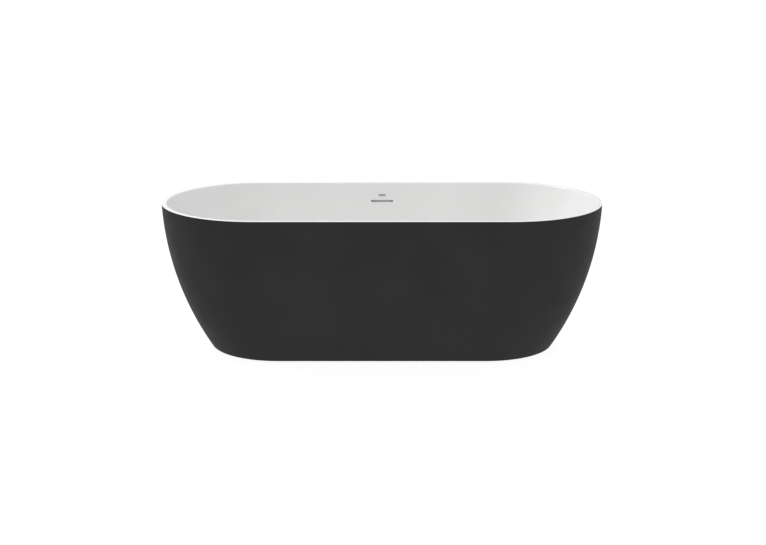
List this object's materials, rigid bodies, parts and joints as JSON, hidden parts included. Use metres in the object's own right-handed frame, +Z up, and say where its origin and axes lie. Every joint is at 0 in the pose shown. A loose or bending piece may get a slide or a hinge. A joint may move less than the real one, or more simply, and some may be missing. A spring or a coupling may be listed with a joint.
{
  "type": "freestanding bathtub",
  "caption": "Freestanding double-shell bathtub: white inner basin with slot overflow in a flared dark oval skirt, on a steel frame with screw feet, with click waste, trap and overflow hose.",
  "frame": {"origin": "on the floor under the middle of the tub and of its waste hole", "axes": "+X along the tub towards its trap and drain pipe, +Y towards the side with the overflow, +Z up"},
  "size_m": [1.7, 0.75, 0.57],
  "materials": {
    "white_acrylic": "gloss",
    "charcoal_acrylic": "satin",
    "adhesive": "matte",
    "satin_metal": "satin",
    "plywood": "matte",
    "galvanised_steel": "satin",
    "zinc_fastener": "satin",
    "black_plastic": "matte",
    "foot_plastic": "matte",
    "chrome": "polished",
    "seal_rubber": "matte",
    "white_plastic": "satin",
    "hose_plastic": "satin",
    "brass": "satin",
    "spring_steel": "satin"
  },
  "bodies": {
    "tub": {"inner_basin": "white_acrylic", "outer_skirt": "charcoal_acrylic", "rim_bond_bead": "adhesive", "badge_plate": "satin_metal", "floor_board": "plywood", "board_tabs": "galvanised_steel", "board_screws": "zinc_fastener", "rail_front": "galvanised_steel", "rail_rear": "galvanised_steel", "crossbar_left": "galvanised_steel", "crossbar_centre": "galvanised_steel", "crossbar_right": "galvanised_steel", "tube_end_plugs": "black_plastic", "skirt_brackets": "galvanised_steel", "bracket_bolts": "zinc_fastener", "bracket_nuts": "zinc_fastener", "skirt_blocks": "plywood", "block_screws": "zinc_fastener", "foot_nuts": "zinc_fastener", "foot_lock_nuts": "zinc_fastener", "waste_flange": "chrome", "waste_upper_seal": "seal_rubber", "waste_lower_seal": "seal_rubber", "waste_body": "white_plastic", "click_cartridge": "brass", "cartridge_cap": "brass", "cartridge_spring": "spring_steel", "trap_inlet_nut": "white_plastic", "trap_inlet_seal": "seal_rubber", "trap_body": "white_plastic", "trap_baffle": "white_plastic", "trap_cleanout_seal": "seal_rubber", "trap_cleanout_cap": "white_plastic", "outlet_nut": "white_plastic", "outlet_seal": "seal_rubber", "outlet_pipe": "white_plastic", "overflow_trim": "white_plastic", "overflow_gasket": "seal_rubber", "overflow_box": "white_plastic", "overflow_hose": "hose_plastic", "hose_clamps": "spring_steel"},
    "plug": {"plug_cap": "chrome", "plug_seal": "seal_rubber", "plug_stem": "brass"},
    "foot_front_left": {"foot_pad_front_left": "foot_plastic"},
    "spindle_front_left": {"foot_spindle_front_left": "zinc_fastener"},
    "foot_front_right": {"foot_pad_front_right": "foot_plastic"},
    "spindle_front_right": {"foot_spindle_front_right": "zinc_fastener"},
    "foot_rear_left": {"foot_pad_rear_left": "foot_plastic"},
    "spindle_rear_left": {"foot_spindle_rear_left": "zinc_fastener"},
    "foot_rear_right": {"foot_pad_rear_right": "foot_plastic"},
    "spindle_rear_right": {"foot_spindle_rear_right": "zinc_fastener"},
    "foot_centre": {"foot_pad_centre": "foot_plastic"},
    "spindle_centre": {"foot_spindle_centre": "zinc_fastener"}
  },
  "joints": [
    {"name": "plug_press", "type": "slide", "parent": "tub", "child": "plug", "axis": [0, 0, 1], "range_m": [-0.009, 0], "deforming": ["cartridge_spring"]},
    {"name": "foot_front_left_height", "type": "slide", "parent": "tub", "child": "foot_front_left", "axis": [0, 0, -1], "range_m": [-0.01, 0.02]},
    {"name": "spindle_front_left_turn", "type": "hinge", "parent": "foot_front_left", "child": "spindle_front_left", "pos_m": [-0.4, -0.215, 0.05], "axis": [0, 0, -1], "range_deg": [-2059, 4116]},
    {"name": "foot_front_right_height", "type": "slide", "parent": "tub", "child": "foot_front_right", "axis": [0, 0, -1], "range_m": [-0.01, 0.02]},
    {"name": "spindle_front_right_turn", "type": "hinge", "parent": "foot_front_right", "child": "spindle_front_right", "pos_m": [0.4, -0.215, 0.05], "axis": [0, 0, -1], "range_deg": [-2059, 4116]},
    {"name": "foot_rear_left_height", "type": "slide", "parent": "tub", "child": "foot_rear_left", "axis": [0, 0, -1], "range_m": [-0.01, 0.02]},
    {"name": "spindle_rear_left_turn", "type": "hinge", "parent": "foot_rear_left", "child": "spindle_rear_left", "pos_m": [-0.4, 0.215, 0.05], "axis": [0, 0, -1], "range_deg": [-2059, 4116]},
    {"name": "foot_rear_right_height", "type": "slide", "parent": "tub", "child": "foot_rear_right", "axis": [0, 0, -1], "range_m": [-0.01, 0.02]},
    {"name": "spindle_rear_right_turn", "type": "hinge", "parent": "foot_rear_right", "child": "spindle_rear_right", "pos_m": [0.4, 0.215, 0.05], "axis": [0, 0, -1], "range_deg": [-2059, 4116]},
    {"name": "foot_centre_height", "type": "slide", "parent": "tub", "child": "foot_centre", "axis": [0, 0, -1], "range_m": [-0.01, 0.02]},
    {"name": "spindle_centre_turn", "type": "hinge", "parent": "foot_centre", "child": "spindle_centre", "pos_m": [-0.14, 0, 0.05], "axis": [0, 0, -1], "range_deg": [-2059, 4116]}
  ],
  "couplings": [
    {"joint": "spindle_front_left_turn", "follows": "foot_front_left_height", "rad_per_m": 3590.4},
    {"joint": "spindle_front_right_turn", "follows": "foot_front_right_height", "rad_per_m": 3590.4},
    {"joint": "spindle_rear_left_turn", "follows": "foot_rear_left_height", "rad_per_m": 3590.4},
    {"joint": "spindle_rear_right_turn", "follows": "foot_rear_right_height", "rad_per_m": 3590.4},
    {"joint": "spindle_centre_turn", "follows": "foot_centre_height", "rad_per_m": 3590.4}
  ]
}
